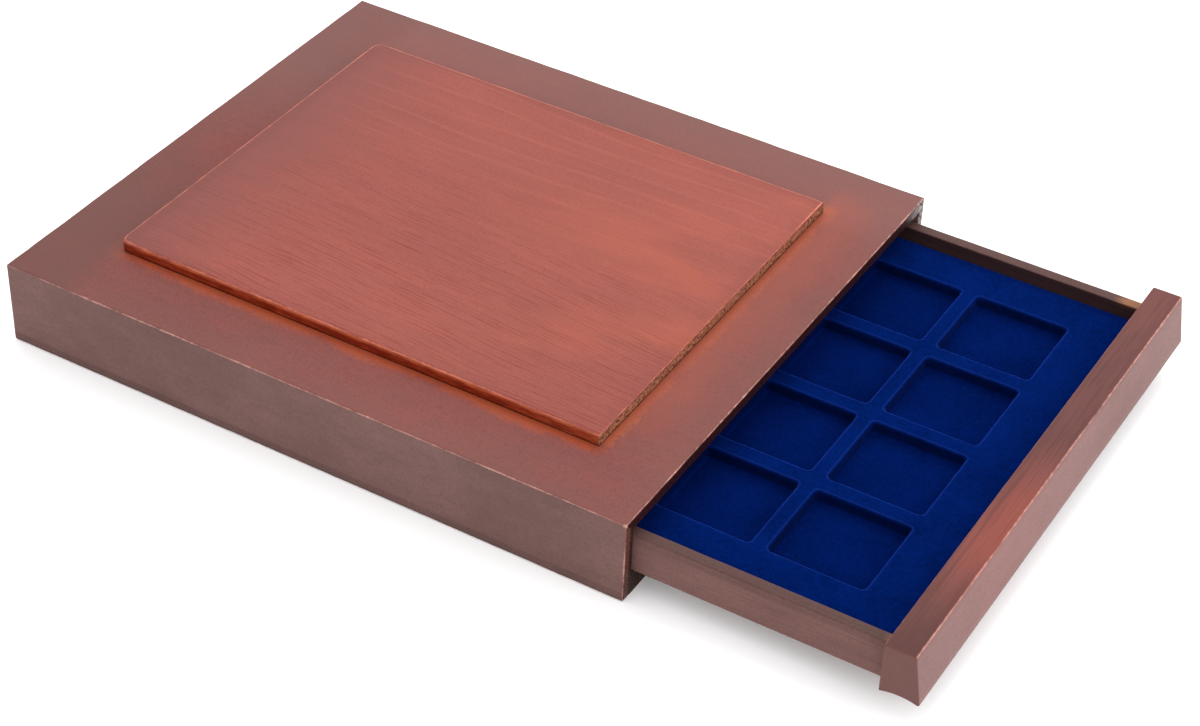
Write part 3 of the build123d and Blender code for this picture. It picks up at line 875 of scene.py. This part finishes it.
def make_case_boards(top_wood, side_wood):
    """The mitred shell of the case: one lacquered surface over four boards."""
    plans = (
        ("top_board", 2, True, ((1, True), (1, False), (0, False)), "mahogany_top", top_wood),
        ("side_wall_left", 1, False, ((2, True), (0, False)), "mahogany_side", side_wood),
        ("side_wall_right", 1, True, ((2, True), (0, False)), "mahogany_side", side_wood),
        ("back_wall", 0, False, ((2, True), (1, True), (1, False)), "mahogany_side", side_wood),
    )
    for node, outer_axis, outer_high, ends, slot, material in plans:
        low, high = span(node)
        # Each board reaches to the sharp corner of the case before its edges are rounded.
        for axis, at_high in ends:
            if at_high:
                high[axis] = CASE_HIGH[axis]
            else:
                low[axis] = CASE_LOW[axis]
        points, faces = board_grid(low, high, CASE_EDGE_RADIUS, BOARD_PITCH)
        points = mitred(points, low, high, outer_axis, outer_high, ends)
        points = rounded(points, CASE_LOW, CASE_HIGH, CASE_EDGE_RADIUS)
        points = waved(points, CASE_LOW, CASE_HIGH, CASE_EDGE_RADIUS)
        make_piece(f"{node}_lacquered", points, faces, "case", material, [node])


def make_stacking_panel(material):
    low, high = PANEL_LOW, PANEL_HIGH
    points, faces = board_grid(low, high, PANEL_EDGE_RADIUS, PANEL_PITCH)
    # Only the back corners are rounded in plan: the front end is sawn off square.
    middle = (low[1] + high[1]) / 2
    half = (high[1] - low[1]) / 2
    radius = PANEL_CORNER_RADIUS
    side = np.sign(points[:, 1] - middle)

    def past_arcs():
        """How far points lie past the middles of the corner arcs, and which lie in one."""
        a = (low[0] + radius) - points[:, 0]
        b = np.abs(points[:, 1] - middle) - (half - radius)
        return a, b, (a > 0) & (b > 0), np.maximum(np.hypot(a, b), 1e-12)

    a, b, corner, length = past_arcs()
    squeeze = np.maximum(a, b) / length
    points[corner, 0] = (low[0] + radius) - (a * squeeze)[corner]
    points[corner, 1] = (middle + side * (half - radius + b * squeeze))[corner]
    # Round over the top edges, apart from the sawn end.
    a, b, corner, length = past_arcs()
    outline = np.where(corner, np.hypot(a, b), np.maximum(a, b)) - radius
    out_x = np.where(corner, -a / length, np.where(a > b, -1.0, 0.0))
    out_y = np.where(corner, b / length, np.where(a > b, 0.0, 1.0)) * side
    inset, drop = -outline, high[2] - points[:, 2]
    curve = PANEL_EDGE_RADIUS
    near = (inset < curve) & (drop < curve)
    u, v = curve - inset, curve - drop
    squeeze = np.maximum(u, v) / np.maximum(np.hypot(u, v), 1e-12)
    shift = np.where(near, (curve - u * squeeze) - inset, 0.0)
    points[:, 0] -= out_x * shift
    points[:, 1] -= out_y * shift
    points[:, 2] -= np.where(near, (curve - v * squeeze) - drop, 0.0)
    # The top is not quite flat and the edge not quite straight.
    for i, p in enumerate(points):
        spot = Vector(p)
        ripple = noise.noise(spot * 45.0) + 0.5 * noise.noise(spot * 160.0)
        if near[i]:
            press = max(0.0, 0.4 + 0.9 * noise.noise(spot * 120.0)) * 0.22 * MM
            points[i, 1] -= out_y[i] * press
            points[i, 2] -= press * 0.5
        elif drop[i] < 1e-6:
            points[i, 2] -= (1.0 + ripple) * 0.03 * MM
    make_piece(
        "stacking_panel_stained", points, faces, "case", material,
        ["stacking_panel"],
    )


def make_base(base_wood, side_wood):
    """The rails under the floor board. The front rail is rebated for the floor board."""
    for node in ("base_rail_back", "base_rail_left", "base_rail_right"):
        low, high = span(node)
        points, faces = board_grid(low, high, BOARD_EDGE_RADIUS, RAIL_PITCH)
        points = rounded(points, low, high, BOARD_EDGE_RADIUS)
        make_piece(f"{node}_stained", points, faces, "case", base_wood, [node])
    low, high = span("base_rail_front")
    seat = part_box("base_rail_left")[1][2]
    rebate = low[0] + FLOOR_REBATE
    section = rounded_section(
        [
            (low[0], low[2], 0.5 * MM),
            (high[0], low[2], 0.4 * MM),
            (high[0], high[2], 0.4 * MM),
            (rebate, high[2], 0.3 * MM),
            (rebate, seat, 0.0),
            (low[0], seat, 0.3 * MM),
        ],
        4 * MM,
    )
    stations, insets = end_stations(low[1], high[1], 0.2 * MM, 6 * MM)
    points, faces = sweep(section, "Y", stations, insets)
    make_piece(
        "base_rail_front_lacquered", points, faces, "case", side_wood,
        ["base_rail_front"],
    )


# ------------------------------------------------------------------ the drawer


def make_drawer_front(material):
    low, high = FRONT_LOW, FRONT_HIGH
    inner, outer = low[0], high[0]
    bottom, top = low[2], high[2]
    corners = [
        (inner, top, FRONT_END_RADIUS),
        (inner + FRONT_TOP_THICKNESS, top, FRONT_EDGE_RADIUS),
        (outer, bottom, FRONT_EDGE_RADIUS),
    ]
    # The hollow under the front, as an arc from its outer to its inner edge.
    width = outer - inner
    for k in range(1, 12):
        share = k / 12
        rise = FRONT_HOLLOW * 4 * share * (1 - share)
        corners.append((outer - width * share, bottom + rise, 0.0))
    corners.append((inner, bottom, FRONT_END_RADIUS))
    section = rounded_section(corners, 2.5 * MM)
    stations, insets = end_stations(low[1], high[1], FRONT_END_RADIUS, 3 * MM)
    points, faces = sweep(section, "Y", stations, insets)
    for i, p in enumerate(points):
        spot = Vector(p)
        points[i, 2] -= max(0.0, 0.3 + noise.noise(spot * 110.0)) * 0.1 * MM * (p[2] > top - MM)
    make_piece(
        "drawer_front_lacquered", points, faces, "drawer", material,
        ["drawer_front"],
    )


def make_drawer_sides(material):
    floor_low, floor_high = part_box("drawer_bottom")
    for node in ("drawer_side_left", "drawer_side_right"):
        low, high = span(node)
        bottom, top = low[2], high[2]
        inward = -1.0 if low[1] > 0 else 1.0
        outer = high[1] if low[1] > 0 else low[1]
        inner = low[1] if low[1] > 0 else high[1]
        deep = inner - inward * BOTTOM_GROOVE_DEPTH
        groove_low = floor_low[2] - BOTTOM_GROOVE_PLAY
        groove_high = floor_high[2] + BOTTOM_GROOVE_PLAY
        section = rounded_section(
            [
                (outer, bottom, 0.5 * MM),
                (inner, bottom, 0.3 * MM),
                (inner, groove_low, 0.0),
                (deep, groove_low, 0.0),
                (deep, groove_high, 0.0),
                (inner, groove_high, 0.0),
                (inner, top, 0.6 * MM),
                (outer, top, 0.6 * MM),
            ],
            2.5 * MM,
        )
        stations = even_stops(low[0], high[0], 4 * MM)
        points, faces = sweep(section, "X", stations, [0.0] * len(stations))
        for i, p in enumerate(points):
            if p[2] > top - MM:
                points[i, 2] -= max(0.0, 0.2 + noise.noise(Vector(p) * 80.0)) * 0.12 * MM
        make_piece(f"{node}_stained", points, faces, "drawer", material, [node])
    low, high = span("drawer_back")
    points, faces = board_grid(low, high, BOARD_EDGE_RADIUS, DRAWER_BACK_PITCH)
    points = rounded(points, low, high, BOARD_EDGE_RADIUS)
    make_piece(
        "drawer_back_stained", points, faces, "drawer", material, ["drawer_back"]
    )


def pocket_ring(x, y, half, corner):
    """Outline of a square with round corners about (x, y), starting at its lower right."""
    ring = []
    steps = CORNER_STEPS * 2
    straight = half - corner
    for quarter in range(4):
        turn = quarter * math.pi / 2
        cos, sin = round(math.cos(turn)), round(math.sin(turn))
        part = []
        for k in range(POCKET_SIDE_POINTS):
            part.append((half, -straight + 2 * straight * k / POCKET_SIDE_POINTS))
        for k in range(steps):
            angle = math.pi / 2 * k / steps
            part.append((straight + corner * math.cos(angle), straight + corner * math.sin(angle)))
        ring += [(x + (u * cos - v * sin), y + (u * sin + v * cos)) for u, v in part]
    return ring


def cell_ring(low, high):
    """Points round a rectangle, one for each point of a pocket's outline."""
    ring = []
    steps = CORNER_STEPS * 2
    arc = 0.5 * steps
    total = POCKET_SIDE_POINTS + steps
    corners = [(high[0], low[1]), (high[0], high[1]), (low[0], high[1]), (low[0], low[1])]
    for quarter in range(4):
        start, end = Vector(corners[quarter]), Vector(corners[(quarter + 1) % 4])
        beyond = Vector(corners[(quarter + 2) % 4])
        for k in range(POCKET_SIDE_POINTS):
            ring.append(start.lerp(end, (arc + k) / total))
        for k in range(steps):
            if k <= arc:
                ring.append(start.lerp(end, (arc + POCKET_SIDE_POINTS + k) / total))
            else:
                ring.append(end.lerp(beyond, (k - arc) / total))
    return [tuple(p) for p in ring]


def make_coin_tray(material):
    """One formed sheet: flat top, soft rims, drafted pocket walls and a turned-down skirt."""
    low, high = TRAY_LOW, TRAY_HIGH
    top, bottom = high[2], low[2]
    edge = TRAY_EDGE_RADIUS
    first_x = high[0] - POCKET_FRONT_MARGIN - POCKET_SIZE / 2
    xs = [first_x - (POCKET_COLUMNS - 1 - i) * POCKET_PITCH_X for i in range(POCKET_COLUMNS)]
    ys = [(j - (POCKET_ROWS - 1) / 2) * POCKET_PITCH_Y for j in range(POCKET_ROWS)]
    walls_x = [low[0] + edge] + [(a + b) / 2 for a, b in zip(xs, xs[1:])]
    walls_x.append(high[0] - edge)
    walls_y = [low[1] + edge] + [(a + b) / 2 for a, b in zip(ys, ys[1:])]
    walls_y.append(high[1] - edge)

    # The pocket's profile: how far in from the rim, and how far down.
    profile = []
    lean = math.tan(POCKET_DRAFT)
    rim_turn = math.pi / 2 - POCKET_DRAFT
    for k in range(RIM_STEPS + 1):
        angle = rim_turn * k / RIM_STEPS
        profile.append((RIM_RADIUS * math.sin(angle), RIM_RADIUS * (1 - math.cos(angle))))
    rim_in, rim_down = profile[-1]
    floor_down = FLOOR_RADIUS * (1 - math.sin(POCKET_DRAFT))
    wall_end = POCKET_DEPTH - floor_down
    for k in range(1, WALL_STEPS + 1):
        down = rim_down + (wall_end - rim_down) * k / WALL_STEPS
        profile.append((rim_in + (down - rim_down) * lean, down))
    wall_in = profile[-1][0]
    for k in range(1, FLOOR_STEPS + 1):
        angle = POCKET_DRAFT + (math.pi / 2 - POCKET_DRAFT) * k / FLOOR_STEPS
        profile.append(
            (
                wall_in + FLOOR_RADIUS * (math.cos(POCKET_DRAFT) - math.cos(angle)),
                wall_end + FLOOR_RADIUS * (math.sin(angle) - math.sin(POCKET_DRAFT)),
            )
        )
    work = bmesh.new()
    rim_layer = work.verts.layers.float.new("rim")
    reach = POCKET_SIZE / 2 + RIM_RADIUS * 0.4
    rim_corner = POCKET_CORNER + RIM_RADIUS * 0.4
    for i, x in enumerate(xs):
        for j, y in enumerate(ys):
            outer = cell_ring((walls_x[i], walls_y[j]), (walls_x[i + 1], walls_y[j + 1]))
            rim = pocket_ring(x, y, reach, rim_corner)
            rings = [[(a, b, top) for a, b in outer]]
            for share in (0.5, 0.85):
                rings.append(
                    [
                        (a + (c - a) * share, b + (d - b) * share, top)
                        for (a, b), (c, d) in zip(outer, rim)
                    ]
                )
            for inset, down in profile:
                corner = max(rim_corner - inset * 0.8, 1.5 * MM)
                outline = pocket_ring(x, y, reach - inset, corner)
                rings.append([(a, b, top - down) for a, b in outline])
            floor_in = profile[-1][0]
            for share in (0.72, 0.42, 0.15):
                half = (reach - floor_in) * share
                corner = max(POCKET_CORNER * 0.5 * share, 0.3 * MM)
                outline = pocket_ring(x, y, half, corner)
                rings.append([(a, b, top - POCKET_DEPTH) for a, b in outline])
            verts = [[work.verts.new(p) for p in ring] for ring in rings]
            for ring in verts[4:6]:
                for v in ring:
                    v[rim_layer] = 1.0
            for outer_ring, inner_ring in zip(verts, verts[1:]):
                count = len(outer_ring)
                for k in range(count):
                    n = (k + 1) % count
                    work.faces.new(
                        (outer_ring[k], outer_ring[n], inner_ring[n], inner_ring[k])
                    )
            work.faces.new(verts[-1])
    bmesh.ops.remove_doubles(work, verts=work.verts, dist=TRAY_WELD_DISTANCE)

    # Turn the outer edge down: a soft bend, then the skirt.
    middle = Vector(((low[0] + high[0]) / 2, (low[1] + high[1]) / 2, 0))
    half = Vector(((high[0] - low[0]) / 2, (high[1] - low[1]) / 2, 0))
    steps = [(math.sin(a), 1 - math.cos(a)) for a in (0.4, 0.8, 1.2, math.pi / 2)]
    drops = [(edge * out, edge * down) for out, down in steps]
    skirt = top - bottom - edge
    drops += [(edge, edge + skirt * k / SKIRT_STEPS) for k in range(1, SKIRT_STEPS + 1)]
    border = [e.link_loops[0] for e in work.edges if e.is_boundary]
    border = [(loop.link_loop_next.vert, loop.vert) for loop in border]
    for out, down in drops:
        below = {}
        for v in dict.fromkeys(v for pair in border for v in pair):
            place = v.co.copy()
            for axis in (0, 1):
                arm = place[axis] - middle[axis]
                if abs(arm) > half[axis] - edge - 0.01 * MM:
                    place[axis] = middle[axis] + math.copysign(half[axis] - edge + out, arm)
            place.z = top - down
            below[v] = work.verts.new(place)
        for a, b in border:
            work.faces.new((a, b, below[b], below[a]))
        border = [(below[a], below[b]) for a, b in border]
    # Formed flock is never dead flat, and its rims are never quite straight.
    for v in work.verts:
        if v.co.z > bottom + MM:
            soft = noise.noise(v.co * 60.0) * 0.07 + noise.noise(v.co * 260.0) * 0.05
            v.co.z -= (0.13 + soft) * MM
            if v.co.z > top - POCKET_DEPTH * 0.8 and abs(v.co.y - middle.y) < half.y - 2 * edge:
                v.co.x += noise.noise(v.co * 330.0) * 0.14 * MM
                v.co.y += noise.noise(v.co * 330.0 + Vector((7, 0, 0))) * 0.14 * MM
    mesh = bpy.data.meshes.new("coin_tray_flocked")
    work.to_mesh(mesh)
    work.free()
    mesh.polygons.foreach_set("use_smooth", [True] * len(mesh.polygons))
    mesh.materials.append(material)
    tray = add_object("coin_tray_flocked", mesh)
    sheet = tray.modifiers.new("sheet", "SOLIDIFY")
    sheet.thickness = TRAY_SHEET
    sheet.offset = -1.0
    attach(tray, "drawer")
    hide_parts("coin_tray")


# ------------------------------------------------------------------ carried-over CAD nodes


def paint_node(node, material):
    """Gives a CAD node a finished material in every slot of its mesh."""
    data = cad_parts[node].data
    data.materials.clear()
    data.materials.append(material)


def make_floor():
    mesh = bpy.data.meshes.new("studio_floor")
    turns = ((-1, -1), (1, -1), (1, 1), (-1, 1))
    corners = [(FLOOR_REACH * x, FLOOR_REACH * y, 0) for x, y in turns]
    mesh.from_pydata(corners, [], [(0, 1, 2, 3)])
    mesh.materials.append(make_floor_material())
    floor = add_object("studio_floor", mesh)
    floor.location.z = -FLOOR_DROP


def main():
    make_camera()
    make_lights()
    make_floor()
    side_wood = make_side_wood()
    base_wood = make_base_wood()
    drawer_wood = make_drawer_wood()
    plywood = make_plywood()
    steel = make_steel()
    make_case_boards(make_top_wood(), side_wood)
    make_stacking_panel(make_panel_wood())
    make_base(base_wood, side_wood)
    make_drawer_front(make_front_wood())
    make_drawer_sides(drawer_wood)
    make_coin_tray(make_flock())
    paint_node("floor_board", plywood)
    paint_node("drawer_bottom", plywood)
    paint_node("drawer_front_dowels", make_beech())
    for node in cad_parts:
        if node.endswith("_brads"):
            paint_node(node, steel)


main()
